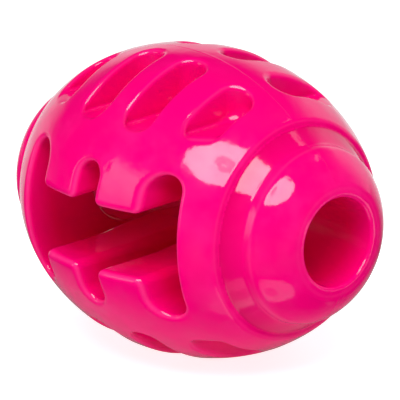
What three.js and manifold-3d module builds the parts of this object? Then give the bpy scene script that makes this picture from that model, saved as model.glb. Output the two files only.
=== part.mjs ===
import * as THREE from 'three';
import { mergeVertices } from 'three/addons/utils/BufferGeometryUtils.js';
import Module from 'manifold-3d';

// Rugby ball dog toy: one solid moulding in soft thermoplastic rubber.
// Millimetres. X runs along the ball, Z is up, and the origin is the centre of the ball.
// The two mould halves meet on the plane y = 0, so the window and the pockets are drawn
// along Y, and two pins drawn along X leave the bore in each nose.

// Body, an ellipse turned about X, cut off at a rim at each end.
const BODY_DIAMETER = 80;
const RIM_DIAMETER = 56.2;
const RIM_ROUND = 0.8;

// Toothed window that goes right through the body along Y.
const CENTRE_NOTCH_WIDTH = 8.2;
const TOOTH_WIDTH = 13.6;
const END_NOTCH_WIDTH = 10.4;
const TOOTH_GAP = 17;              // between the upper and the lower tooth tips
const TOOTH_LENGTH = 10.3;         // tooth tip to the top of a notch
const TOOTH_ROUND = 2.2;
const WINDOW_END_BOW = 0.6;        // how far the end walls bow outwards
const MOULD_DRAFT = 1.5;           // how much the opening closes in at the parting plane
const DRAFT_START = 19;            // distance from the parting plane where it starts
const END_WALL = 8.3;              // window end to rim

// Pockets, four above and four below on each side, with level floors.
const CENTRE_RIB = 7.2;
const INNER_POCKET_WIDTH = 8.8;
const POCKET_RIB = 8.3;
const OUTER_POCKET_WIDTH = 9.3;
const POCKET_DEPTH = 12.9;         // crown of the body to the pocket floor
const SPINE_WIDTH = 9.6;           // left standing along the parting plane
const POCKET_CORNER = 3.6;
const POCKET_FLOOR_ROUND = 1.5;

const MOUTH_ROUND = 1.3;           // rounded edge of the window and of the pockets

// Groove and nose at each end.
const GROOVE_STEP = 1.5;           // rim down to the groove floor
const GROOVE_WIDTH = 4.6;
const NOSE_DIAMETER = 45.8;
const NOSE_FLANK = 2.2;            // groove floor to the nose shoulder
const NOSE_SHOULDER_ROUND = 1.1;
const NOSE_HEIGHT = 8.4;           // shoulder to the end face
const NOSE_CROWN_RADIUS = 20;
const BORE_DIAMETER = 23;
const LIP_WIDTH = 2.3;             // bore wall to the outer edge of the flat end face
const LIP_ROUND = 0.9;

// Facets.
const TURNS = 60;
const BORE_TURNS = 40;
const BODY_STEPS = 16;
const CUTTER_REACH = 6;            // how far cutters run past the surface

const bodyRadius = BODY_DIAMETER / 2;
const toothStart = CENTRE_NOTCH_WIDTH / 2;
const toothEnd = toothStart + TOOTH_WIDTH;
const windowEnd = toothEnd + END_NOTCH_WIDTH + WINDOW_END_BOW;
const rimX = windowEnd + END_WALL;
const rimRadius = RIM_DIAMETER / 2;
const bodyHalfLength = rimX / Math.sqrt(1 - (rimRadius / bodyRadius) ** 2);
const shoulderX = rimX + GROOVE_WIDTH + NOSE_FLANK;
const noseFaceX = shoulderX + NOSE_HEIGHT;
const tipZ = TOOTH_GAP / 2;
const notchTopZ = tipZ + TOOTH_LENGTH;
const pocketFloorZ = bodyRadius - POCKET_DEPTH;
const farOut = bodyRadius + CUTTER_REACH;

const wasm = await Module();
wasm.setup();

// Half width of the body at a point of its middle plane: the surface depth behind (x, t).
function surfaceAt(x, t) {
  const left = 1 - (x / bodyHalfLength) ** 2 - (t / bodyRadius) ** 2;
  return bodyRadius * Math.sqrt(Math.max(left, 0));
}

// Points of an arc, from one angle to another in degrees.
function arc(cx, cy, radius, from, to, steps) {
  const points = [];
  for (let i = 0; i <= steps; i += 1) {
    const angle = THREE.MathUtils.degToRad(from + ((to - from) * i) / steps);
    points.push(new THREE.Vector2(cx + radius * Math.cos(angle), cy + radius * Math.sin(angle)));
  }
  return points;
}

// Points between two ends, both left out.
function between(a, b, steps) {
  const points = [];
  for (let i = 1; i < steps; i += 1) {
    points.push(new THREE.Vector2().lerpVectors(a, b, i / steps));
  }
  return points;
}

// Rounds the corner between two straight runs of a profile.
function roundCorner(before, corner, after, radius, steps) {
  const toBefore = before.clone().sub(corner).normalize();
  const toAfter = after.clone().sub(corner).normalize();
  const half = Math.acos(THREE.MathUtils.clamp(toBefore.dot(toAfter), -1, 1)) / 2;
  const reach = radius / Math.tan(half);
  const start = corner.clone().addScaledVector(toBefore, reach);
  const end = corner.clone().addScaledVector(toAfter, reach);
  const centre = toBefore.add(toAfter).normalize().multiplyScalar(radius / Math.sin(half)).add(corner);
  const points = [];
  for (let i = 0; i <= steps; i += 1) {
    const direction = new THREE.Vector2().lerpVectors(start, end, i / steps).sub(centre).normalize();
    points.push(centre.clone().addScaledVector(direction, radius));
  }
  return points;
}

// Crown of the nose, an arc from the shoulder to the outer edge of the end face.
function noseCrown(shoulder, lip, steps) {
  const chord = lip.clone().sub(shoulder);
  const half = chord.length() / 2;
  const radius = Math.max(NOSE_CROWN_RADIUS, half * 1.02);
  const inward = new THREE.Vector2(chord.y, -chord.x).normalize();
  const middle = shoulder.clone().add(lip).multiplyScalar(0.5);
  const centre = middle.addScaledVector(inward, -Math.sqrt(radius ** 2 - half ** 2));
  const points = [];
  for (let i = 0; i <= steps; i += 1) {
    const direction = new THREE.Vector2().lerpVectors(shoulder, lip, i / steps).sub(centre).normalize();
    points.push(centre.clone().addScaledVector(direction, radius));
  }
  return points;
}

// One half of the turned profile, as (radius, x), from the widest point to the axis.
function halfProfile() {
  const body = [];
  for (let i = 0; i < BODY_STEPS / 2; i += 1) {
    const x = (rimX * i) / (BODY_STEPS / 2);
    body.push(new THREE.Vector2(surfaceAt(x, 0), x));
  }
  const beforeRim = body[body.length - 1];
  const rim = new THREE.Vector2(rimRadius, rimX);
  const grooveEdge = new THREE.Vector2(rimRadius - GROOVE_STEP, rimX);
  const grooveEnd = new THREE.Vector2(NOSE_DIAMETER / 2, rimX + GROOVE_WIDTH);
  const shoulder = new THREE.Vector2(NOSE_DIAMETER / 2, shoulderX);
  const lip = new THREE.Vector2(BORE_DIAMETER / 2 + LIP_WIDTH, noseFaceX);
  const crown = noseCrown(shoulder, lip, 4);
  return [
    ...body,
    ...roundCorner(beforeRim, rim, grooveEdge, Math.min(RIM_ROUND, GROOVE_STEP / 2), 2),
    grooveEdge,
    grooveEnd,
    ...roundCorner(grooveEnd, shoulder, crown[1], Math.min(NOSE_SHOULDER_ROUND, NOSE_FLANK / 2), 2),
    ...crown.slice(1),
    new THREE.Vector2(0, noseFaceX),
  ];
}

// Body, grooves and noses in one turned solid, its axis laid along X.
function turnedBody() {
  const half = halfProfile();
  const mirrored = half.slice(1).reverse().map((p) => new THREE.Vector2(p.x, -p.y));
  const geometry = new THREE.LatheGeometry([...mirrored, ...half], TURNS);
  geometry.rotateZ(-Math.PI / 2);
  return solidFrom(geometry);
}

// Pin that leaves the bore, with the rounded inner edge of the lip.
function boreCutterGeometry() {
  const radius = BORE_DIAMETER / 2;
  const inside = toothEnd + MOULD_DRAFT + END_NOTCH_WIDTH / 4;
  const lipEdge = arc(radius + LIP_ROUND, noseFaceX - LIP_ROUND, LIP_ROUND, 180, 90, 2);
  const profile = [
    new THREE.Vector2(0, inside),
    new THREE.Vector2(radius, inside),
    ...lipEdge,
    new THREE.Vector2(radius + LIP_ROUND, noseFaceX + CUTTER_REACH),
    new THREE.Vector2(0, noseFaceX + CUTTER_REACH),
  ];
  const geometry = new THREE.LatheGeometry(profile, BORE_TURNS);
  geometry.rotateZ(-Math.PI / 2);
  return geometry;
}

// Quarter of the window outline in (x, z), from the middle of the top to the middle of an end.
function windowQuarter() {
  const endRadius = END_NOTCH_WIDTH / 2;
  const innerTop = new THREE.Vector2(toothStart, notchTopZ - toothStart);
  const outerTop = new THREE.Vector2(toothEnd, notchTopZ - endRadius);
  const innerCorner = arc(toothStart + TOOTH_ROUND, tipZ + TOOTH_ROUND, TOOTH_ROUND, 180, 270, 2);
  const outerCorner = arc(toothEnd - TOOTH_ROUND, tipZ + TOOTH_ROUND, TOOTH_ROUND, 270, 360, 2);
  const wall = [];
  const wallTop = notchTopZ - endRadius;
  for (let i = 1; i < 4; i += 1) {
    const z = wallTop * (1 - i / 4);
    wall.push(new THREE.Vector2(windowEnd - WINDOW_END_BOW * (z / wallTop) ** 2, z));
  }
  return [
    ...arc(0, notchTopZ - toothStart, toothStart, 90, 0, 4),
    ...between(innerTop, innerCorner[0], 2),
    ...innerCorner,
    ...between(innerCorner[2], outerCorner[0], 2),
    ...outerCorner,
    ...between(outerCorner[2], outerTop, 2),
    ...arc(toothEnd + endRadius, notchTopZ - endRadius, endRadius, 180, 0, 6),
    ...wall,
    new THREE.Vector2(windowEnd, 0),
  ];
}

// The whole window outline, the quarter mirrored about both axes.
function windowOutline() {
  const quarter = windowQuarter();
  const back = quarter.slice(1, -1).reverse();
  return [
    ...quarter,
    ...back.map((p) => new THREE.Vector2(p.x, -p.y)),
    ...[quarter[0], ...quarter.slice(1)].map((p) => new THREE.Vector2(-p.x, -p.y)),
    ...back.map((p) => new THREE.Vector2(-p.x, p.y)),
  ];
}

// Outline of a pocket in (x, y), open towards -Y: its sides run out past the body.
function pocketOutline(nearX, farX) {
  const endY = -SPINE_WIDTH / 2;
  const corner = Math.min(POCKET_CORNER, (farX - nearX) / 2.1);
  const outY = -farOut;
  const sideTop = endY - corner;
  const near = between(new THREE.Vector2(nearX, outY), new THREE.Vector2(nearX, sideTop), 6);
  const far = between(new THREE.Vector2(farX, sideTop), new THREE.Vector2(farX, outY), 6);
  return [
    new THREE.Vector2(nearX, outY),
    ...near,
    ...arc(nearX + corner, sideTop, corner, 180, 90, 3),
    ...arc(farX - corner, sideTop, corner, 90, 0, 3),
    ...far,
    new THREE.Vector2(farX, outY),
  ];
}

// Moves every point of a closed outline outwards by the same distance, or inwards if negative.
function grown(outline, distance) {
  const turn = Math.sign(THREE.ShapeUtils.area(outline));
  return outline.map((point, i) => {
    const before = outline[(i + outline.length - 1) % outline.length];
    const after = outline[(i + 1) % outline.length];
    const a = point.clone().sub(before).normalize();
    const b = after.clone().sub(point).normalize();
    const normal = new THREE.Vector2(a.y + b.y, -a.x - b.x).normalize().multiplyScalar(turn);
    const spread = Math.max(Math.abs(normal.x * a.y - normal.y * a.x), 0.5);
    return point.clone().addScaledVector(normal, distance / spread);
  });
}

// Levels of a rounded mouth: how far out from the wall and how far under the surface.
function mouthLevels(steps) {
  const levels = [];
  for (let i = 0; i <= steps; i += 1) {
    const angle = (Math.PI / 2) * (i / steps);
    levels.push({ out: MOUTH_ROUND * (1 - Math.cos(angle)), under: MOUTH_ROUND * (1 - Math.sin(angle)) });
  }
  return levels;
}

// Closed solid through rings of points that match one to one, with a flat cap on each end.
function loft(rings, capOutline) {
  const count = capOutline.length;
  const position = rings.flat().flatMap((p) => [p.x, p.y, p.z]);
  const index = [];
  for (let r = 0; r + 1 < rings.length; r += 1) {
    for (let i = 0; i < count; i += 1) {
      const a = r * count + i;
      const b = r * count + ((i + 1) % count);
      index.push(a, b, b + count, a, b + count, a + count);
    }
  }
  const last = (rings.length - 1) * count;
  for (const [a, b, c] of THREE.ShapeUtils.triangulateShape(capOutline, [])) {
    index.push(c, b, a, last + a, last + b, last + c);
  }
  const geometry = new THREE.BufferGeometry();
  geometry.setAttribute('position', new THREE.Float32BufferAttribute(position, 3));
  geometry.setIndex(index);
  return geometry;
}

// Cutter for the window: drafted walls, with a rounded mouth on the curved surface each side.
function windowCutter() {
  const outline = windowOutline().reverse();
  const ring = (points, y) => points.map((p) => new THREE.Vector3(p.x, y(p), p.y));
  const half = [ring(outline, () => DRAFT_START)];
  for (const { out, under } of mouthLevels(2)) {
    half.push(ring(grown(outline, out), (p) => surfaceAt(p.x, p.y) - under));
  }
  half.push(ring(grown(outline, MOUTH_ROUND), () => farOut));
  const middle = ring(grown(outline, -MOULD_DRAFT), () => 0);
  const mirror = (r) => r.map((p) => new THREE.Vector3(p.x, -p.y, p.z));
  const rings = [...half.slice().reverse(), middle, ...half.map(mirror)];
  return solidFrom(loft(rings, outline));
}

// Cutter for one pocket in the upper half towards -Y.
function pocketCutterGeometry(nearX, farX) {
  const outline = pocketOutline(nearX, farX).reverse();
  const ring = (points, z) => points.map((p) => new THREE.Vector3(p.x, p.y, z(p)));
  const wallFoot = pocketFloorZ + POCKET_FLOOR_ROUND;
  const rings = [
    ring(grown(outline, -POCKET_FLOOR_ROUND), () => pocketFloorZ),
    ring(grown(outline, -POCKET_FLOOR_ROUND * 0.3), () => pocketFloorZ + POCKET_FLOOR_ROUND * 0.3),
    ring(outline, () => wallFoot),
  ];
  for (const { out, under } of mouthLevels(2)) {
    rings.push(ring(grown(outline, out), (p) => Math.max(surfaceAt(p.x, p.y) - under, wallFoot)));
  }
  rings.push(ring(grown(outline, MOUTH_ROUND), () => farOut));
  return loft(rings, outline);
}

// Copy of a geometry mirrored by signs, its triangles turned to keep facing out.
function mirrored(geometry, sx, sy, sz) {
  const copy = geometry.clone();
  copy.scale(sx, sy, sz);
  if (sx * sy * sz < 0) {
    const index = Array.from(copy.index.array);
    for (let i = 0; i < index.length; i += 3) {
      [index[i], index[i + 1]] = [index[i + 1], index[i]];
    }
    copy.setIndex(index);
  }
  return copy;
}

// All the pockets: inner and outer, mirrored to both ends, both sides, above and below.
function pocketCutters() {
  const innerNear = CENTRE_RIB / 2;
  const innerFar = innerNear + INNER_POCKET_WIDTH;
  const outerNear = innerFar + POCKET_RIB;
  const outerFar = outerNear + OUTER_POCKET_WIDTH;
  const shapes = [pocketCutterGeometry(innerNear, innerFar), pocketCutterGeometry(outerNear, outerFar)];
  const cutters = [];
  for (const shape of shapes) {
    for (const sx of [1, -1]) {
      for (const sy of [1, -1]) {
        for (const sz of [1, -1]) {
          cutters.push(solidFrom(mirrored(shape, sx, sy, sz)));
        }
      }
    }
  }
  return cutters;
}

// Makes a solid of a closed geometry: shared points merged, flat triangles dropped.
function solidFrom(geometry) {
  const bare = new THREE.BufferGeometry();
  bare.setAttribute('position', geometry.getAttribute('position').clone());
  bare.setIndex(geometry.index.clone());
  const merged = mergeVertices(bare, 1e-4);
  const source = merged.index.array;
  const kept = [];
  for (let i = 0; i < source.length; i += 3) {
    const [a, b, c] = [source[i], source[i + 1], source[i + 2]];
    if (a !== b && b !== c && c !== a) {
      kept.push(a, b, c);
    }
  }
  const mesh = new wasm.Mesh({
    numProp: 3,
    vertProperties: new Float32Array(merged.getAttribute('position').array),
    triVerts: new Uint32Array(kept),
  });
  mesh.merge();
  return new wasm.Manifold(mesh);
}

// Turns a solid back into a geometry.
function geometryFrom(solid) {
  const mesh = solid.getMesh();
  const geometry = new THREE.BufferGeometry();
  geometry.setAttribute('position', new THREE.BufferAttribute(new Float32Array(mesh.vertProperties), 3));
  geometry.setIndex(new THREE.BufferAttribute(new Uint32Array(mesh.triVerts), 1));
  geometry.computeVertexNormals();
  return geometry;
}

// The moulding: the turned body less the window, the pockets and the bore in each nose.
function ballBody() {
  let solid = turnedBody().subtract(windowCutter());
  const bore = boreCutterGeometry();
  solid = solid.subtract(solidFrom(bore)).subtract(solidFrom(mirrored(bore, -1, 1, 1)));
  for (const cutter of pocketCutters()) {
    solid = solid.subtract(cutter);
  }
  return geometryFrom(solid);
}

const pinkRubber = new THREE.MeshStandardMaterial({
  color: 0xf0107a,
  roughness: 0.22,
  metalness: 0,
});

const ball = new THREE.Mesh(ballBody(), pinkRubber);
ball.name = 'ball_body';

const rugbyBallToy = new THREE.Group();
rugbyBallToy.add(ball);

export default rugbyBallToy;
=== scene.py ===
import math

import bpy
import numpy as np
from mathutils import Matrix, Vector


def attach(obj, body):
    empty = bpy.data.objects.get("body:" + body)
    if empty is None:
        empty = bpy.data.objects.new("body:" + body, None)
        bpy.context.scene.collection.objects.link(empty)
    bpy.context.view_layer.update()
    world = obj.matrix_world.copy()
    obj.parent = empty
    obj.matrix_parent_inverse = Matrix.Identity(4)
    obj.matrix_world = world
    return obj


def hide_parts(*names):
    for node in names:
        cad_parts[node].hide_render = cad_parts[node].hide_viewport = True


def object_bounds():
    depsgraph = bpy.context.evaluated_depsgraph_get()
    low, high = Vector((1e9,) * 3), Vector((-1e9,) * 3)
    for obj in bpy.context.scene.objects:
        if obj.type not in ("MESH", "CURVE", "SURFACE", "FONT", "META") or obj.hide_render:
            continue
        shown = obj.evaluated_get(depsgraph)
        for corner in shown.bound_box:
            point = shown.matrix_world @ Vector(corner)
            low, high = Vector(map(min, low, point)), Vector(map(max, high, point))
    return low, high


# Rugby ball dog toy in glossy pink rubber, moulded in one piece.
# The shape is worked out in millimetres as a signed distance, so that every edge gets its rounding,
# and the mesh is made from it in metres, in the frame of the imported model.

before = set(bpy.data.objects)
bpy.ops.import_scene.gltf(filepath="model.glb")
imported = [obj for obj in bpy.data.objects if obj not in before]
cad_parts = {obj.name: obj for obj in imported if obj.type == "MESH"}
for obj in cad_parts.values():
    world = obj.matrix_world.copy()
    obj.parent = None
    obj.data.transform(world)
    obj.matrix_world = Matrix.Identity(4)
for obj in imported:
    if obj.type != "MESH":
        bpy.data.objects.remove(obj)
cad_low, cad_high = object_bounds()
MM = 0.001

# Hairline ridge where the two mould halves met.
SEAM_HEIGHT = 0.045
SEAM_HALF_WIDTH = 0.22

# Turned body, in millimetres from the centre of the ball. It is smaller than the solid by the
# ridge's height, so that the ridge stays inside the solid's box.
BODY_RADIUS = cad_high.z / MM - SEAM_HEIGHT
END_FACE_X = cad_high.x / MM - SEAM_HEIGHT
RIM_X = 37.0
RIM_RADIUS = 28.1
RIM_ROUND = 0.9
BODY_HALF_LENGTH = RIM_X / math.sqrt(1 - (RIM_RADIUS / BODY_RADIUS) ** 2)
GROOVE_STEP = 1.5
GROOVE_STEP_ROUND = 0.5
GROOVE_LENGTH = 4.6
GROOVE_END_X = RIM_X + GROOVE_LENGTH
GROOVE_END_ROUND = 0.4
FLANK_LENGTH = 2.2
SHOULDER_X = GROOVE_END_X + FLANK_LENGTH
SHOULDER_ROUND = 0.9
NOSE_RADIUS = 22.9
CROWN_RADIUS = 20.0

# Bore from each end face to the window.
BORE_RADIUS = 11.5
BORE_END_RADIUS = 10.6
LIP_WIDTH = 2.3
LIP_RADIUS = BORE_RADIUS + LIP_WIDTH
LIP_OUTER_ROUND = 0.8
LIP_INNER_ROUND = 0.9

# Toothed window, which goes through along Y and narrows towards the parting plane.
CENTRE_NOTCH_RADIUS = 3.5
TOOTH_WIDTH = 14.7
TOOTH_END_X = CENTRE_NOTCH_RADIUS + TOOTH_WIDTH
TOOTH_TIP_Z = 8.3
TOOTH_ROUND = 2.2
NOTCH_DEPTH = 9.9
NOTCH_TOP_Z = TOOTH_TIP_Z + NOTCH_DEPTH
END_NOTCH_RADIUS = 4.5
WINDOW_END_BOW = 0.6
WINDOW_END_X = TOOTH_END_X + 2 * END_NOTCH_RADIUS + WINDOW_END_BOW
WINDOW_BOW_LIMIT = 1.2
WINDOW_DRAFT = 1.5
DRAFT_START_Y = 19.0
DRAFT_KNEE = 0.12
WINDOW_MOUTH_ROUND = 2.1
BORE_PAST_TOOTH = 3.6
BORE_START_X = TOOTH_END_X + BORE_PAST_TOOTH

# Grip pockets: four above and four below on each side, with ribs between them.
CENTRE_RIB = 7.2
INNER_POCKET_WIDTH = 8.7
POCKET_RIB = 8.4
OUTER_POCKET_WIDTH = 8.4
INNER_NEAR_X = CENTRE_RIB / 2
INNER_FAR_X = INNER_NEAR_X + INNER_POCKET_WIDTH
OUTER_NEAR_X = INNER_FAR_X + POCKET_RIB
OUTER_FAR_X = OUTER_NEAR_X + OUTER_POCKET_WIDTH
INNER_END_Y = 28.7
OUTER_END_Y = 24.0
POCKETS = (
    (INNER_NEAR_X, INNER_FAR_X, INNER_END_Y),
    (OUTER_NEAR_X, OUTER_FAR_X, OUTER_END_Y),
)
POCKET_START_Y = 4.3
POCKET_DEPTH = 13.2
POCKET_FLOOR_Z = BODY_RADIUS - POCKET_DEPTH
POCKET_CORNER = 4.3
POCKET_FLOOR_ROUND = 0.9
POCKET_SCOOP_ROUND = 4.2
POCKET_SCOOP_LENGTH = 9.0
POCKET_MOUTH_ROUND = 1.3

# Mesh, with smaller cells at the groove, the seam and the long edges of the pockets.
CELL = 0.54
FINE_CELL = 0.27
SEAM_CELL = 0.17
SEAM_ZONE = 0.55
GROOVE_ZONE_MARGIN = 1.0
POCKET_EDGE_ZONE = 1.6
GRID_MARGIN = 1.0
SLOPE_REACH = 0.03
LEAST_STEEPNESS = 0.25
SURFACE_PULLS = 4
TINY = 1e-9

# Where the rubber's painted shade and painted edge highlights fall, in millimetres. Turned edges
# count for more by a factor.
SKIN_REACH = 0.1
WALL_REACH = 0.6
INNER_DEPTHS = (1.0, 8.0)
CORNER_REACH = 2.5
GROOVE_START = 0.2
GROOVE_FADE = 6.0
TURNED_EDGE_GAIN = 1.1
EDGE_HEIGHTS = (0.14, 0.85)

# Rubber. The scale of each pattern is in cells to the metre.
RUBBER_DARK = (0.86, 0.0, 0.168)
RUBBER_PALE = (0.89, 0.005, 0.19)
# Painted shade: deeper red on the walls deep inside the window and bore.
RUBBER_INNER_SHADE = (0.78, 0.0, 0.09)
# Painted shade in corners, and in the groove next to the rim's step.
RUBBER_CORNER_SHADE = (0.68, 0.0, 0.112)
# Painted highlight: paler pink along rounded edges.
RUBBER_EDGE_HIGHLIGHT = (0.94, 0.045, 0.25)
CLOUD_SCALE = 45
CLOUD_DETAIL = 5
CLOUD_ROUGHNESS = 0.62
CLOUD_ENDS = (0.47, 0.66)
RUBBER_IOR = 1.5
POLISH_SCALE = 60
POLISH_ENDS = (0.35, 0.65)
POLISH_ROUGHNESS = (0.045, 0.08)
RIPPLE_SCALE = 130
RIPPLE_HEIGHT = 0.00018
GRAIN_SCALE = 900
GRAIN_DETAIL = 3
GRAIN_HEIGHT = 0.000012
HAZE_SCALE = 110
HAZE_DETAIL = 4
HAZE_ROUGHNESS = 0.6
HAZE_ENDS = (0.48, 0.72)
HAZE_MOST = 0.5
HAZE_SPREAD = 0.22
HAZE_IOR = 1.4

# Camera, fitted to the photograph, whose width and shifts are in pixels.
CAMERA_AZIMUTH = 48.14
CAMERA_ELEVATION = 18.015
CAMERA_ROLL = -1.901
CAMERA_DISTANCE = 1.28914
CAMERA_LENS = 453.9
SENSOR_WIDTH = 36
NEAREST_SEEN = 0.05
FARTHEST_SEEN = 20
PHOTO_WIDTH = 400
SHIFT_RIGHT = 2.894
SHIFT_DOWN = 0.876

# Floor and world. A strength of 1 is white.
FLOOR_SIZE = 12
FLOOR_PAPER = 0.7
FLOOR_GLOW = 0.32
FLOOR_GLOW_SEEN = 0.82
AMBIENT = 0.22

# Lamps: azimuth and elevation in degrees, distance, width and height in metres, and radiance.
KEY_AZIMUTH = 43.0
KEY_ELEVATION = 54.0
KEY_DISTANCE = 0.9
KEY_LAMP = (KEY_AZIMUTH, KEY_ELEVATION, KEY_DISTANCE, 0.82, 0.54, 7.6)
LEFT_FILL = (-35, 5, 0.8, 0.5, 0.5, 2.6)
BACK_FILL = (150, 45, 0.9, 0.6, 0.6, 1.5)
BACK_STRIP = (160, 52, 1.2, 0.26, 0.07, 1.3)

# Darker patch in the key lamp.
BAFFLE_TURN = 4.0
BAFFLE_AZIMUTH = KEY_AZIMUTH - BAFFLE_TURN
BAFFLE_NEARNESS = 0.9
BAFFLE_DISTANCE = KEY_DISTANCE * BAFFLE_NEARNESS
BAFFLE_RADIUS = 0.085
BAFFLE_RADIANCE = 3.0
BAFFLE_RINGS = (0.1, 0.4, 0.7, 1.0)
BAFFLE_POINTS = 24

# Small card beside the nose.
CARD_AZIMUTH = 120.0
CARD_DISTANCE = 0.16
CARD_WIDTH = 0.07
CARD_LIFT = 0.001
CARD_TOP = -0.018
CARD_ROWS = 5
CARD_RADIANCE = 1.2

# Tall reflector. Its fade and its top are heights in metres.
REFLECTOR_AZIMUTH = -26.0
REFLECTOR_ELEVATION = 14.0
REFLECTOR_DISTANCE = 1.2
REFLECTOR_WIDTH = 0.44
REFLECTOR_HEIGHT = 0.85
REFLECTOR_ROWS = 9
REFLECTOR_RADIANCE = 2.0
REFLECTOR_FADE = (-0.1, 0.6)
REFLECTOR_TOP = (0.71, 0.52)

# Dark set that only the gloss sees: cloth all round, and a plate under the ball.
# In each pair it is still closed at the first value and open at the second. The values are how much
# of a place's distance from the ball lies towards the open side, or upwards.
OPEN_AZIMUTH = 225.0
CLOTH_SIDES = (0.25, 0.75)
PLATE_SIDES = (0.5, 0.95)
OPEN_HEIGHTS = (0.52, 0.2)
OPEN_TILT = 0.35
OPEN_SHARE = 0.75
CLOTH_RADIUS = 2.0
CLOTH_STEP = 6
CLOTH_RADIANCE = 0.01
PLATE_RADIUS = 1.9
PLATE_LIFT = 0.0005
PLATE_FIRST_RING = 0.001
PLATE_RINGS = 30
PLATE_POINTS = 60
PLATE_ROUGHNESS = 0.08
PLATE_GLOSS = 0.12

# The plate's sheen starts and is full at two places across the picture, and its hole is still closed
# and fully open at two distances from the hole's centre, all in metres.
PLATE_SHEEN = (-0.014, 0.016)
PLATE_HOLE = (0.092, 0.067)
PLATE_HOLE_SHIFT = 0.03
PLATE_HOLE_SHARE = 0.2

# Light paths.
DIFFUSE_BOUNCES = 12
MOST_BOUNCES = 16


def meet(a, b, radius):
    """Distance to what two solids share, its new edge rounded."""
    inner = np.minimum(np.maximum(a, b), -radius)
    return inner + np.hypot(np.maximum(a + radius, 0), np.maximum(b + radius, 0))


def join(a, b, radius):
    """Distance to two solids together, its new inner corner filled to a radius."""
    return -meet(-a, -b, radius)


def soft_ramp(value, knee):
    """The value where it is positive and 0 elsewhere, with a rounded bend."""
    bend = (value + knee) ** 2 / (4 * knee)
    return np.where(value > knee, value, np.where(value < -knee, 0, bend))


def ellipse(x, r):
    """Distance to the ellipse that the body is turned from."""
    level = np.sqrt((x / BODY_HALF_LENGTH) ** 2 + (r / BODY_RADIUS) ** 2) + TINY
    slope = np.sqrt(x**2 / BODY_HALF_LENGTH**4 + r**2 / BODY_RADIUS**4) + TINY
    return level * (level - 1) / slope


def crown(x, r):
    """Distance to the arc from the nose's shoulder to the lip of the bore."""
    shoulder = np.array([SHOULDER_X, NOSE_RADIUS])
    lip = np.array([END_FACE_X, LIP_RADIUS])
    along = lip - shoulder
    half = np.linalg.norm(along) / 2
    outward = np.array([-along[1], along[0]]) / (2 * half)
    centre = (shoulder + lip) / 2 - outward * math.sqrt(CROWN_RADIUS**2 - half**2)
    return np.hypot(x - centre[0], r - centre[1]) - CROWN_RADIUS


def turned(x, r, rounding):
    """Distance to the turned body: ball, groove and nose, without its bore."""
    ball = meet(ellipse(x, r), x - RIM_X, RIM_ROUND * rounding)
    groove_radius = RIM_RADIUS - GROOVE_STEP
    run = GROOVE_END_X - RIM_X
    fall = groove_radius - NOSE_RADIUS
    slope = ((r - NOSE_RADIUS) * run + (x - GROOVE_END_X) * fall) / math.hypot(run, fall)
    groove = np.maximum(np.maximum(slope, x - SHOULDER_X), r - groove_radius)
    nose = meet(r - NOSE_RADIUS, crown(x, r), SHOULDER_ROUND * rounding)
    nose = meet(nose, x - END_FACE_X, LIP_OUTER_ROUND * rounding)
    neck = join(groove, nose, GROOVE_END_ROUND * rounding)
    return join(ball, neck, GROOVE_STEP_ROUND * rounding)


def window(x, y, z):
    """Distance to the toothed window, narrower towards the parting plane."""
    wall_top = NOTCH_TOP_Z - END_NOTCH_RADIUS
    notch_x = TOOTH_END_X + END_NOTCH_RADIUS
    centre_top = NOTCH_TOP_Z - CENTRE_NOTCH_RADIUS
    round_top = np.hypot(x, z - centre_top) - CENTRE_NOTCH_RADIUS
    centre = np.where(z > centre_top, round_top, x - CENTRE_NOTCH_RADIUS)
    round_end = np.hypot(x - notch_x, z - wall_top) - END_NOTCH_RADIUS
    straight_end = np.maximum(TOOTH_END_X - x, -END_NOTCH_RADIUS)
    end = np.where(z > wall_top, round_end, straight_end)
    opening = join(join(z - TOOTH_TIP_Z, centre, TOOTH_ROUND), end, TOOTH_ROUND)
    end_wall = WINDOW_END_X - WINDOW_END_BOW * np.minimum(z / wall_top, WINDOW_BOW_LIMIT) ** 2
    draft = WINDOW_DRAFT * soft_ramp(1 - y / DRAFT_START_Y, DRAFT_KNEE)
    return np.maximum(opening, x - end_wall) + draft


def bore(x, r):
    """Distance to the end bore, slightly narrower inwards."""
    inwards = (END_FACE_X - x) / (END_FACE_X - BORE_START_X)
    narrowing = (BORE_RADIUS - BORE_END_RADIUS) * inwards
    return np.maximum(r - BORE_RADIUS + narrowing, BORE_START_X - x)


def pocket(x, y, z, near, far, end, rounding):
    """Distance to a round-ended pocket along Y, its level floor scooped up at the inner end."""
    across = np.abs(x - (near + far) / 2) - (far - near) / 2 + POCKET_CORNER
    along = np.maximum(POCKET_START_Y - y, y - end) + POCKET_CORNER
    outside = np.hypot(np.maximum(across, 0), np.maximum(along, 0))
    outline = outside + np.minimum(np.maximum(across, along), 0) - POCKET_CORNER
    scoop = np.clip(1 - (y - POCKET_START_Y) / POCKET_SCOOP_LENGTH, 0, 1) ** 2
    floor_round = POCKET_FLOOR_ROUND + (POCKET_SCOOP_ROUND - POCKET_FLOOR_ROUND) * scoop
    return meet(outline, POCKET_FLOOR_Z - z, floor_round * rounding)


def ball_distance(x, y, z, rounding=1.0):
    """Distance to the whole moulding, negative inside it and the same in all eight corners."""
    x, y, z = np.abs(x), np.abs(y), np.abs(z)
    r = np.hypot(y, z)
    seam = SEAM_HEIGHT * np.exp(-((y / SEAM_HALF_WIDTH) ** 2))
    solid = turned(x, r, rounding) - seam
    solid = meet(solid, -window(x, y, z), WINDOW_MOUTH_ROUND * rounding)
    solid = meet(solid, -bore(x, r), LIP_INNER_ROUND * rounding)
    for near, far, end in POCKETS:
        hollow = pocket(x, y, z, near, far, end, rounding)
        solid = meet(solid, -hollow, POCKET_MOUTH_ROUND * rounding)
    return solid


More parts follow.
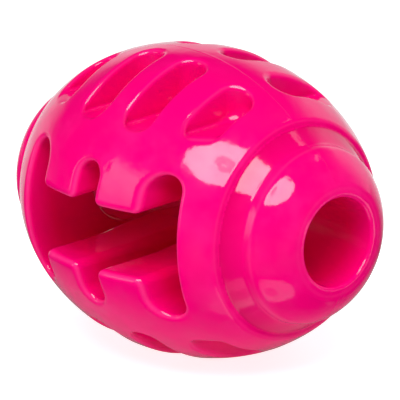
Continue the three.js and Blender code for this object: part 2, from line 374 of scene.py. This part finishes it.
def edge_height(points):
    """How far the sharp edge would stand above each rounded one; negative in corners."""
    height = -ball_distance(*points.T, rounding=0.0)
    x, r = np.abs(points[:, 0]), np.hypot(points[:, 1], points[:, 2])
    on_skin = turned(x, r, 1.0) > -SKIN_REACH
    turned_height = -TURNED_EDGE_GAIN * turned(x, r, 0.0)
    return np.where(on_skin, np.maximum(height, turned_height), height)


def corner_shade_share(points, normals):
    """Painted shade: 0 in the open, 1 deep in a corner or by the groove's step, from the free space
    in front.
    """
    ahead = ball_distance(*(points + normals * CORNER_REACH).T)
    x, r = np.abs(points[:, 0]), np.hypot(points[:, 1], points[:, 2])
    on_skin = turned(x, r, 1.0) > -SKIN_REACH
    in_groove = on_skin & (x > RIM_X + GROOVE_START) & (x < GROOVE_END_X)
    from_step = np.where(in_groove, 1 - (x - RIM_X) / GROOVE_FADE, 0)
    return np.clip(np.maximum(1 - ahead / CORNER_REACH, from_step), 0, 1)


def inner_shade_share(points):
    """Share of painted shade: 0 on the outside, 1 on the walls of the window and bore, well inside
    their mouths.
    """
    x, y, z = np.abs(points.T)
    r = np.hypot(y, z)
    on_wall = np.minimum(window(x, y, z), bore(x, r)) < WALL_REACH
    start, full = INNER_DEPTHS
    return on_wall * np.clip((-turned(x, r, 1.0) - start) / (full - start), 0, 1)


def gradient(points):
    """Slope of the distance at each point."""
    slopes = []
    for axis in range(3):
        step = np.zeros(3)
        step[axis] = SLOPE_REACH
        ahead = ball_distance(*(points + step).T)
        behind = ball_distance(*(points - step).T)
        slopes.append((ahead - behind) / (2 * SLOPE_REACH))
    return np.stack(slopes, axis=1)


def cell_at(place, zones):
    """Size of the grid's cells at a place: the zone's own, or the usual one outside them all."""
    for start, end, cell in zones:
        if start <= place < end:
            return cell
    return CELL


def grid_line(reach, zones=()):
    """Grid places along an axis, both ways from 0, closer together in the zones."""
    places = [0.5 * cell_at(0, zones)]
    while places[-1] < reach:
        places.append(places[-1] + cell_at(places[-1], zones))
    return np.array([-p for p in reversed(places)] + places)


def crossed_cells(inside):
    """The grid cells that have corners both inside and outside."""
    size = np.array(inside.shape) - 1
    filled = np.zeros(size, dtype=np.int8)
    for corner in np.ndindex(2, 2, 2):
        filled += inside[tuple(slice(c, c + n) for c, n in zip(corner, size))]
    return np.argwhere((filled > 0) & (filled < 8))


def net_points(values, cells, lines):
    """For each cell, the middle of the places where the surface crosses its edges."""
    total = np.zeros((len(cells), 3))
    hits = np.zeros(len(cells))
    for corner in np.ndindex(2, 2, 2):
        for axis in np.flatnonzero(np.array(corner) == 0):
            step = np.eye(3, dtype=int)[axis]
            a = values[tuple((cells + corner).T)]
            b = values[tuple((cells + corner + step).T)]
            crossed = (a < 0) != (b < 0)
            share = np.where(crossed, a / np.where(crossed, a - b, 1), 0)
            total += crossed[:, None] * (corner + share[:, None] * step)
            hits += crossed
    place = cells + total / hits[:, None]
    points = [np.interp(place[:, i], np.arange(len(line)), line) for i, line in enumerate(lines)]
    return np.stack(points, axis=1)


def net_quads(inside, cells):
    """A quad round each grid edge that the surface crosses, facing outwards."""
    number = np.full(np.array(inside.shape) - 1, -1)
    number[tuple(cells.T)] = np.arange(len(cells))
    quads = []
    for axis in range(3):
        side = np.eye(3, dtype=int)[(axis + 1) % 3]
        other = np.eye(3, dtype=int)[(axis + 2) % 3]
        changes = np.diff(inside.astype(np.int8), axis=axis)
        edges = np.argwhere(changes != 0)
        leaving = changes[tuple(edges.T)] < 0
        around = [edges - side - other, edges - other, edges, edges - side]
        ring = np.stack([number[tuple(cell.T)] for cell in around], axis=1)
        quads.append(np.where(leaving[:, None], ring, ring[:, ::-1]))
    return np.concatenate(quads)


def pulled_to_surface(points):
    """The points moved along the slope of the distance until they lie on the surface."""
    for _ in range(SURFACE_PULLS):
        slope = gradient(points)
        steep = np.maximum((slope**2).sum(axis=1), LEAST_STEEPNESS)
        points = points - slope * (ball_distance(*points.T) / steep)[:, None]
    return points


def grid_lines():
    """Grid places along X, Y and Z."""
    zones = [(RIM_X - GROOVE_ZONE_MARGIN, SHOULDER_X + GROOVE_ZONE_MARGIN, FINE_CELL)]
    for near, far, _ in POCKETS:
        zones.append((near - POCKET_EDGE_ZONE, near, FINE_CELL))
        zones.append((far, far + POCKET_EDGE_ZONE, FINE_CELL))
    along = grid_line(END_FACE_X + GRID_MARGIN, zones)
    across = grid_line(BODY_RADIUS + GRID_MARGIN, [(0, SEAM_ZONE, SEAM_CELL)])
    return [along, across, grid_line(BODY_RADIUS + GRID_MARGIN)]


def add_layer(mesh, name, values):
    """Keeps one number for each vertex, for the material to read."""
    layer = mesh.attributes.new(name, "FLOAT", "POINT")
    layer.data.foreach_set("value", values.astype(np.float32))


def ball_mesh():
    """The moulding's mesh, its vertices and normals taken from the exact surface."""
    lines = grid_lines()
    values = ball_distance(*np.meshgrid(*lines, indexing="ij", sparse=True))
    inside = values < 0
    cells = crossed_cells(inside)
    quads = net_quads(inside, cells)
    points = pulled_to_surface(net_points(values, cells, lines))
    normals = gradient(points)
    normals /= np.linalg.norm(normals, axis=1)[:, None]
    mesh = bpy.data.meshes.new("ball_moulding")
    mesh.from_pydata((points * MM).tolist(), [], quads.tolist())
    mesh.shade_smooth()
    mesh.normals_split_custom_set_from_vertices(normals.tolist())
    # The first layer places the painted edge highlights, and the other two place the painted shade.
    add_layer(mesh, "edge_height", edge_height(points))
    add_layer(mesh, "corner_shade_share", corner_shade_share(points, normals))
    add_layer(mesh, "inner_shade_share", inner_shade_share(points))
    return mesh


def set_up_nodes(owner):
    """Starts an empty node tree for a material or the world."""
    owner.use_nodes = True
    owner.node_tree.nodes.clear()
    return owner.node_tree.nodes, owner.node_tree.links


def put(links, source, target):
    """Links another node's output to an input, or sets the input to a plain value."""
    if isinstance(source, bpy.types.NodeSocket):
        links.new(source, target)
    else:
        target.default_value = source


def maths(nodes, links, operation, first, second):
    """Result of one operation on two numbers."""
    node = nodes.new("ShaderNodeMath")
    node.operation = operation
    put(links, first, node.inputs[0])
    put(links, second, node.inputs[1])
    return node.outputs["Value"]


def vector_maths(nodes, links, operation, result, *parts):
    """The named result of one operation on vectors."""
    node = nodes.new("ShaderNodeVectorMath")
    node.operation = operation
    for part, target in zip(parts, node.inputs):
        put(links, part, target)
    return node.outputs[result]


def mapped(nodes, links, value, ends, results=(0, 1), blend="LINEAR"):
    """The first result up to the first end, the second from the second end, and a blend between."""
    node = nodes.new("ShaderNodeMapRange")
    node.interpolation_type = blend
    node.inputs["From Min"].default_value = ends[0]
    node.inputs["From Max"].default_value = ends[1]
    node.inputs["To Min"].default_value = results[0]
    node.inputs["To Max"].default_value = results[1]
    links.new(value, node.inputs["Value"])
    return node.outputs["Result"]


def smooth_step(nodes, links, value, ends):
    """0 on the first end's side, 1 past the second end, and a smooth change between them."""
    results = (0, 1) if ends[0] < ends[1] else (1, 0)
    return mapped(nodes, links, value, sorted(ends), results, "SMOOTHSTEP")


def noise(nodes, links, scale, detail=2, roughness=0.5):
    """Cloudy pattern that is fixed to the object."""
    place = nodes.new("ShaderNodeTexCoord")
    node = nodes.new("ShaderNodeTexNoise")
    node.inputs["Scale"].default_value = scale
    node.inputs["Detail"].default_value = detail
    node.inputs["Roughness"].default_value = roughness
    links.new(place.outputs["Object"], node.inputs["Vector"])
    return node.outputs["Fac"]


def bump(nodes, links, height, distance, normal=None):
    """Normal bent by a height pattern, on top of another bend if there is one."""
    node = nodes.new("ShaderNodeBump")
    node.inputs["Strength"].default_value = 1.0
    node.inputs["Distance"].default_value = distance
    links.new(height, node.inputs["Height"])
    if normal is not None:
        links.new(normal, node.inputs["Normal"])
    return node.outputs["Normal"]


def mixed_colour(nodes, links, share, first, second):
    """Blend of two colours, the first of which may be another node's colour."""
    mix = nodes.new("ShaderNodeMix")
    mix.data_type = "RGBA"
    links.new(share, mix.inputs["Factor"])
    put(links, (*first, 1) if isinstance(first, tuple) else first, mix.inputs[6])
    mix.inputs[7].default_value = (*second, 1)
    return mix.outputs[2]


def tinted(nodes, links, colour, layer, ends, tint):
    """A colour that turns into a tint as the mesh's layer goes from one end to the other."""
    source = nodes.new("ShaderNodeAttribute")
    source.attribute_name = layer
    share = mapped(nodes, links, source.outputs["Fac"], ends)
    return mixed_colour(nodes, links, share, colour, tint)


def rubber_colour(nodes, links):
    """Pink with faint clouds, painted shade (deeper red) on inner walls and in corners, and painted
    highlights (paler) along edges.
    """
    clouds = noise(nodes, links, CLOUD_SCALE, CLOUD_DETAIL, CLOUD_ROUGHNESS)
    patches = smooth_step(nodes, links, clouds, CLOUD_ENDS)
    colour = mixed_colour(nodes, links, patches, RUBBER_DARK, RUBBER_PALE)
    colour = tinted(nodes, links, colour, "inner_shade_share", (0, 1), RUBBER_INNER_SHADE)
    colour = tinted(nodes, links, colour, "corner_shade_share", (0, 1), RUBBER_CORNER_SHADE)
    return tinted(nodes, links, colour, "edge_height", EDGE_HEIGHTS, RUBBER_EDGE_HIGHLIGHT)


def rubber_material():
    """Glossy soft rubber: uneven polish, ripples, fine grain and a patchy haze over the gloss."""
    material = bpy.data.materials.new("pink_rubber")
    nodes, links = set_up_nodes(material)
    shader = nodes.new("ShaderNodeBsdfPrincipled")
    shader.inputs["IOR"].default_value = RUBBER_IOR
    shader.inputs["Coat Roughness"].default_value = HAZE_SPREAD
    shader.inputs["Coat IOR"].default_value = HAZE_IOR
    links.new(rubber_colour(nodes, links), shader.inputs["Base Color"])
    polish = noise(nodes, links, POLISH_SCALE)
    roughness = mapped(nodes, links, polish, POLISH_ENDS, POLISH_ROUGHNESS)
    links.new(roughness, shader.inputs["Roughness"])
    ripples = bump(nodes, links, noise(nodes, links, RIPPLE_SCALE), RIPPLE_HEIGHT)
    grain = noise(nodes, links, GRAIN_SCALE, GRAIN_DETAIL)
    links.new(bump(nodes, links, grain, GRAIN_HEIGHT, ripples), shader.inputs["Normal"])
    handling = noise(nodes, links, HAZE_SCALE, HAZE_DETAIL, HAZE_ROUGHNESS)
    haze = mapped(nodes, links, handling, HAZE_ENDS, (0, HAZE_MOST))
    links.new(haze, shader.inputs["Coat Weight"])
    output = nodes.new("ShaderNodeOutputMaterial")
    links.new(shader.outputs["BSDF"], output.inputs["Surface"])
    return material


def direction(azimuth, elevation):
    """Unit vector from the ball: azimuth 0 is towards -Y and 90 towards +X."""
    a = math.radians(azimuth)
    e = math.radians(elevation)
    return Vector((math.sin(a) * math.cos(e), -math.cos(a) * math.cos(e), math.sin(e)))


def facing_ball(azimuth, elevation, distance):
    """Placement whose Z axis points away from the ball."""
    away = direction(azimuth, elevation)
    turn = away.to_track_quat("Z", "Y").to_matrix().to_4x4()
    return Matrix.Translation(away * distance) @ turn


def area_light(name, azimuth, elevation, distance, width, height, radiance):
    """Oval lamp that faces the ball; a radiance of 1 is the brightness of white paper."""
    data = bpy.data.lights.new(name, "AREA")
    data.shape = "ELLIPSE"
    data.size = width
    data.size_y = height
    area = width * height * (math.pi / 4)
    data.energy = radiance * math.pi * area
    lamp = bpy.data.objects.new(name, data)
    lamp.matrix_world = facing_ball(azimuth, elevation, distance)
    bpy.context.scene.collection.objects.link(lamp)
    return lamp


def hidden_from(piece, *ray_kinds):
    """Hides a piece or lamp from some kinds of ray."""
    for kind in ray_kinds:
        setattr(piece, "visible_" + kind, False)


def gloss_only(name, vertices, faces, material):
    """Piece of the set that nothing but the gloss sees."""
    mesh = bpy.data.meshes.new(name)
    mesh.from_pydata(vertices, [], faces)
    mesh.materials.append(material)
    piece = bpy.data.objects.new(name, mesh)
    bpy.context.scene.collection.objects.link(piece)
    hidden_from(piece, "camera", "diffuse", "transmission", "shadow")


def ring_faces(rows, columns):
    """Quads between closed rings of vertices, each ring with the same number."""
    faces = []
    for row in range(rows - 1):
        for column in range(columns):
            after = (column + 1) % columns
            low = row * columns
            high = low + columns
            faces.append((low + column, low + after, high + after, high + column))
    return faces


def strip_faces(rows):
    """Quads of a strip that is one quad wide, its vertices in pairs."""
    return [(2 * k, 2 * k + 1, 2 * k + 3, 2 * k + 2) for k in range(rows - 1)]


def circle_points(count):
    """Points evenly round a circle of radius 1, level in Z."""
    turns = np.linspace(0, 2 * math.pi, count, endpoint=False)
    return [Vector((math.cos(turn), math.sin(turn), 0)) for turn in turns]


def glow_material(name, radiance):
    """White glow of an even strength."""
    material = bpy.data.materials.new(name)
    nodes, links = set_up_nodes(material)
    glow = nodes.new("ShaderNodeEmission")
    glow.inputs["Strength"].default_value = radiance
    output = nodes.new("ShaderNodeOutputMaterial")
    links.new(glow.outputs["Emission"], output.inputs["Surface"])
    return material


def open_side(nodes, links, place, sides):
    """How far the dark set is open: OPEN_SHARE behind the ball and low down, 0 elsewhere."""
    straight = vector_maths(nodes, links, "NORMALIZE", "Vector", place)
    towards = direction(OPEN_AZIMUTH, 0)
    upwards = Vector((0, 0, 1)) - direction(CAMERA_AZIMUTH + 90, 0) * OPEN_TILT
    across = vector_maths(nodes, links, "DOT_PRODUCT", "Value", straight, towards)
    height = vector_maths(nodes, links, "DOT_PRODUCT", "Value", straight, upwards)
    side = smooth_step(nodes, links, across, sides)
    low = smooth_step(nodes, links, height, OPEN_HEIGHTS)
    return maths(nodes, links, "MULTIPLY", maths(nodes, links, "MULTIPLY", side, low), OPEN_SHARE)


def plate_hole(nodes, links, place):
    """How far the plate is open in a round hole, under the ball and a little behind it."""
    centre_shift = direction(CAMERA_AZIMUTH, 0) * PLATE_HOLE_SHIFT
    shifted = vector_maths(nodes, links, "ADD", "Vector", place, centre_shift)
    reach = vector_maths(nodes, links, "LENGTH", "Value", shifted)
    inside = smooth_step(nodes, links, reach, PLATE_HOLE)
    return maths(nodes, links, "MULTIPLY", inside, PLATE_HOLE_SHARE)


def plate_sheen(nodes, links, place):
    """How much the plate mirrors: nothing on the left of the picture, PLATE_GLOSS on the right."""
    right = direction(CAMERA_AZIMUTH + 90, 0)
    side = vector_maths(nodes, links, "DOT_PRODUCT", "Value", place, right)
    return maths(nodes, links, "MULTIPLY", smooth_step(nodes, links, side, PLATE_SHEEN), PLATE_GLOSS)


def add_opening(nodes, links, dark, share):
    """Lets the white surroundings through a dark surface by a share."""
    clear = nodes.new("ShaderNodeBsdfTransparent")
    mix = nodes.new("ShaderNodeMixShader")
    links.new(share, mix.inputs["Fac"])
    links.new(dark, mix.inputs[1])
    links.new(clear.outputs["BSDF"], mix.inputs[2])
    output = nodes.new("ShaderNodeOutputMaterial")
    links.new(mix.outputs["Shader"], output.inputs["Surface"])


def cloth_material():
    """Dark cloth that opens behind the ball."""
    material = bpy.data.materials.new("dark_cloth")
    nodes, links = set_up_nodes(material)
    place = nodes.new("ShaderNodeTexCoord").outputs["Object"]
    dark = nodes.new("ShaderNodeEmission")
    dark.inputs["Strength"].default_value = CLOTH_RADIANCE
    share = open_side(nodes, links, place, CLOTH_SIDES)
    add_opening(nodes, links, dark.outputs["Emission"], share)
    return material


def plate_material():
    """Dark plate, polished on one side, that opens behind the ball and a little under it."""
    material = bpy.data.materials.new("dark_plate")
    nodes, links = set_up_nodes(material)
    place = nodes.new("ShaderNodeTexCoord").outputs["Object"]
    dark = nodes.new("ShaderNodeBsdfGlossy")
    dark.inputs["Roughness"].default_value = PLATE_ROUGHNESS
    links.new(plate_sheen(nodes, links, place), dark.inputs["Color"])
    behind = open_side(nodes, links, place, PLATE_SIDES)
    share = maths(nodes, links, "MAXIMUM", behind, plate_hole(nodes, links, place))
    add_opening(nodes, links, dark.outputs["BSDF"], share)
    return material


def dark_room():
    """Dark cloth round the set, from just below the floor to right above."""
    azimuths = range(0, 360, CLOTH_STEP)
    elevations = range(-CLOTH_STEP, 90 + CLOTH_STEP, CLOTH_STEP)
    vertices = []
    for elevation in elevations:
        for azimuth in azimuths:
            vertices.append(tuple(direction(azimuth, elevation) * CLOTH_RADIUS))
    faces = ring_faces(len(elevations), len(azimuths))
    gloss_only("dark_room", vertices, faces, cloth_material())


def dark_plate():
    """Dark plate on the floor, which also mirrors the key lamp into the ball's underside."""
    height = Vector((0, 0, cad_low.z + PLATE_LIFT))
    rings = [PLATE_FIRST_RING]
    for k in range(1, PLATE_RINGS + 1):
        rings.append(PLATE_RADIUS * (k / PLATE_RINGS) ** 2)
    vertices = []
    for ring in rings:
        for around in circle_points(PLATE_POINTS):
            vertices.append(tuple(around * ring + height))
    faces = ring_faces(len(rings), PLATE_POINTS)
    gloss_only("dark_plate", vertices, faces, plate_material())


def key_baffle():
    """Darker round patch in front of the key lamp, as its inner baffle shows in the gloss."""
    spot = facing_ball(BAFFLE_AZIMUTH, KEY_ELEVATION, BAFFLE_DISTANCE)
    vertices = []
    for ring in BAFFLE_RINGS:
        for around in circle_points(BAFFLE_POINTS):
            vertices.append(tuple(spot @ (around * ring * BAFFLE_RADIUS)))
    faces = ring_faces(len(BAFFLE_RINGS), BAFFLE_POINTS)
    gloss_only("key_baffle", vertices, faces, glow_material("baffle", BAFFLE_RADIANCE))


def reflector_material():
    """White glow that fades down the reflector, and softly ends near its top."""
    material = bpy.data.materials.new("reflector")
    nodes, links = set_up_nodes(material)
    place = nodes.new("ShaderNodeTexCoord")
    axes = nodes.new("ShaderNodeSeparateXYZ")
    links.new(place.outputs["Object"], axes.inputs[0])
    height = axes.outputs["Z"]
    fade = mapped(nodes, links, height, REFLECTOR_FADE, (0, REFLECTOR_RADIANCE))
    top = smooth_step(nodes, links, height, REFLECTOR_TOP)
    glow = nodes.new("ShaderNodeEmission")
    links.new(maths(nodes, links, "MULTIPLY", fade, top), glow.inputs["Strength"])
    output = nodes.new("ShaderNodeOutputMaterial")
    links.new(glow.outputs["Emission"], output.inputs["Surface"])
    return material


def reflector():
    """Tall reflector beside the set."""
    spot = facing_ball(REFLECTOR_AZIMUTH, REFLECTOR_ELEVATION, REFLECTOR_DISTANCE)
    vertices = []
    for row in np.linspace(-0.5, 0.5, REFLECTOR_ROWS):
        for side in (-0.5, 0.5):
            corner = Vector((side * REFLECTOR_WIDTH, row * REFLECTOR_HEIGHT, 0))
            vertices.append(tuple(spot @ corner))
    gloss_only("reflector", vertices, strip_faces(REFLECTOR_ROWS), reflector_material())


def side_card():
    """Small bright card that stands close beside the nose."""
    away = direction(CARD_AZIMUTH, 0) * CARD_DISTANCE
    along = direction(CARD_AZIMUTH + 90, 0)
    vertices = []
    for height in np.linspace(cad_low.z + CARD_LIFT, CARD_TOP, CARD_ROWS):
        for side in (-0.5, 0.5):
            corner = away + along * side * CARD_WIDTH + Vector((0, 0, height))
            vertices.append(tuple(corner))
    material = glow_material("side_card", CARD_RADIANCE)
    gloss_only("side_card", vertices, strip_faces(CARD_ROWS), material)


def background_seen(nodes, links):
    """1 for camera, glossy and transmission rays and 0 for the light that falls on things."""
    path = nodes.new("ShaderNodeLightPath")
    total = path.outputs["Is Camera Ray"]
    for kind in ("Is Glossy Ray", "Is Transmission Ray"):
        total = maths(nodes, links, "MAXIMUM", total, path.outputs[kind])
    return total


def floor_material():
    """White paper that also glows a little, so that the ball's shadow stays faint."""
    material = bpy.data.materials.new("pale_floor")
    nodes, links = set_up_nodes(material)
    paper = nodes.new("ShaderNodeBsdfDiffuse")
    paper.inputs["Color"].default_value = (FLOOR_PAPER, FLOOR_PAPER, FLOOR_PAPER, 1)
    seen = background_seen(nodes, links)
    glow = nodes.new("ShaderNodeEmission")
    strength = mapped(nodes, links, seen, (0, 1), (FLOOR_GLOW, FLOOR_GLOW_SEEN))
    links.new(strength, glow.inputs["Strength"])
    both = nodes.new("ShaderNodeAddShader")
    links.new(paper.outputs["BSDF"], both.inputs[0])
    links.new(glow.outputs["Emission"], both.inputs[1])
    output = nodes.new("ShaderNodeOutputMaterial")
    links.new(both.outputs["Shader"], output.inputs["Surface"])
    return material


def add_floor():
    """Pale light table under the ball."""
    bpy.ops.mesh.primitive_plane_add(size=FLOOR_SIZE, location=(0, 0, cad_low.z))
    floor = bpy.context.object
    floor.name = "floor"
    floor.data.materials.append(floor_material())


def add_world():
    """White surroundings, which light the ball only softly."""
    world = bpy.data.worlds.new("studio")
    bpy.context.scene.world = world
    nodes, links = set_up_nodes(world)
    strength = mapped(nodes, links, background_seen(nodes, links), (0, 1), (AMBIENT, 1))
    background = nodes.new("ShaderNodeBackground")
    background.inputs["Color"].default_value = (1, 1, 1, 1)
    links.new(strength, background.inputs["Strength"])
    output = nodes.new("ShaderNodeOutputWorld")
    links.new(background.outputs["Background"], output.inputs["Surface"])


def add_lights():
    """Key lamp with its baffle, fills that the gloss doesn't see, and a strip only for the gloss."""
    area_light("key_softbox", *KEY_LAMP)
    key_baffle()
    hidden_from(area_light("left_fill", *LEFT_FILL), "glossy")
    hidden_from(area_light("back_fill", *BACK_FILL), "glossy")
    hidden_from(area_light("back_strip", *BACK_STRIP), "diffuse")


def add_camera():
    """Long lens from the photograph's side."""
    data = bpy.data.cameras.new("camera")
    data.sensor_width = SENSOR_WIDTH
    data.lens = CAMERA_LENS
    data.shift_x = SHIFT_RIGHT / PHOTO_WIDTH
    data.shift_y = -SHIFT_DOWN / PHOTO_WIDTH
    data.clip_start = NEAREST_SEEN
    data.clip_end = FARTHEST_SEEN
    camera = bpy.data.objects.new("camera", data)
    level = facing_ball(CAMERA_AZIMUTH, CAMERA_ELEVATION, CAMERA_DISTANCE)
    camera.matrix_world = level @ Matrix.Rotation(math.radians(CAMERA_ROLL), 4, "Z")
    bpy.context.scene.collection.objects.link(camera)
    bpy.context.scene.camera = camera


ball = bpy.data.objects.new("ball_moulding", ball_mesh())
bpy.context.scene.collection.objects.link(ball)
ball.data.materials.append(rubber_material())
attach(ball, "root")
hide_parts("ball_body")

add_floor()
add_world()
dark_room()
dark_plate()
add_lights()
reflector()
side_card()
add_camera()

bpy.context.scene.view_settings.view_transform = "Standard"
bpy.context.scene.cycles.diffuse_bounces = DIFFUSE_BOUNCES
bpy.context.scene.cycles.max_bounces = MOST_BOUNCES
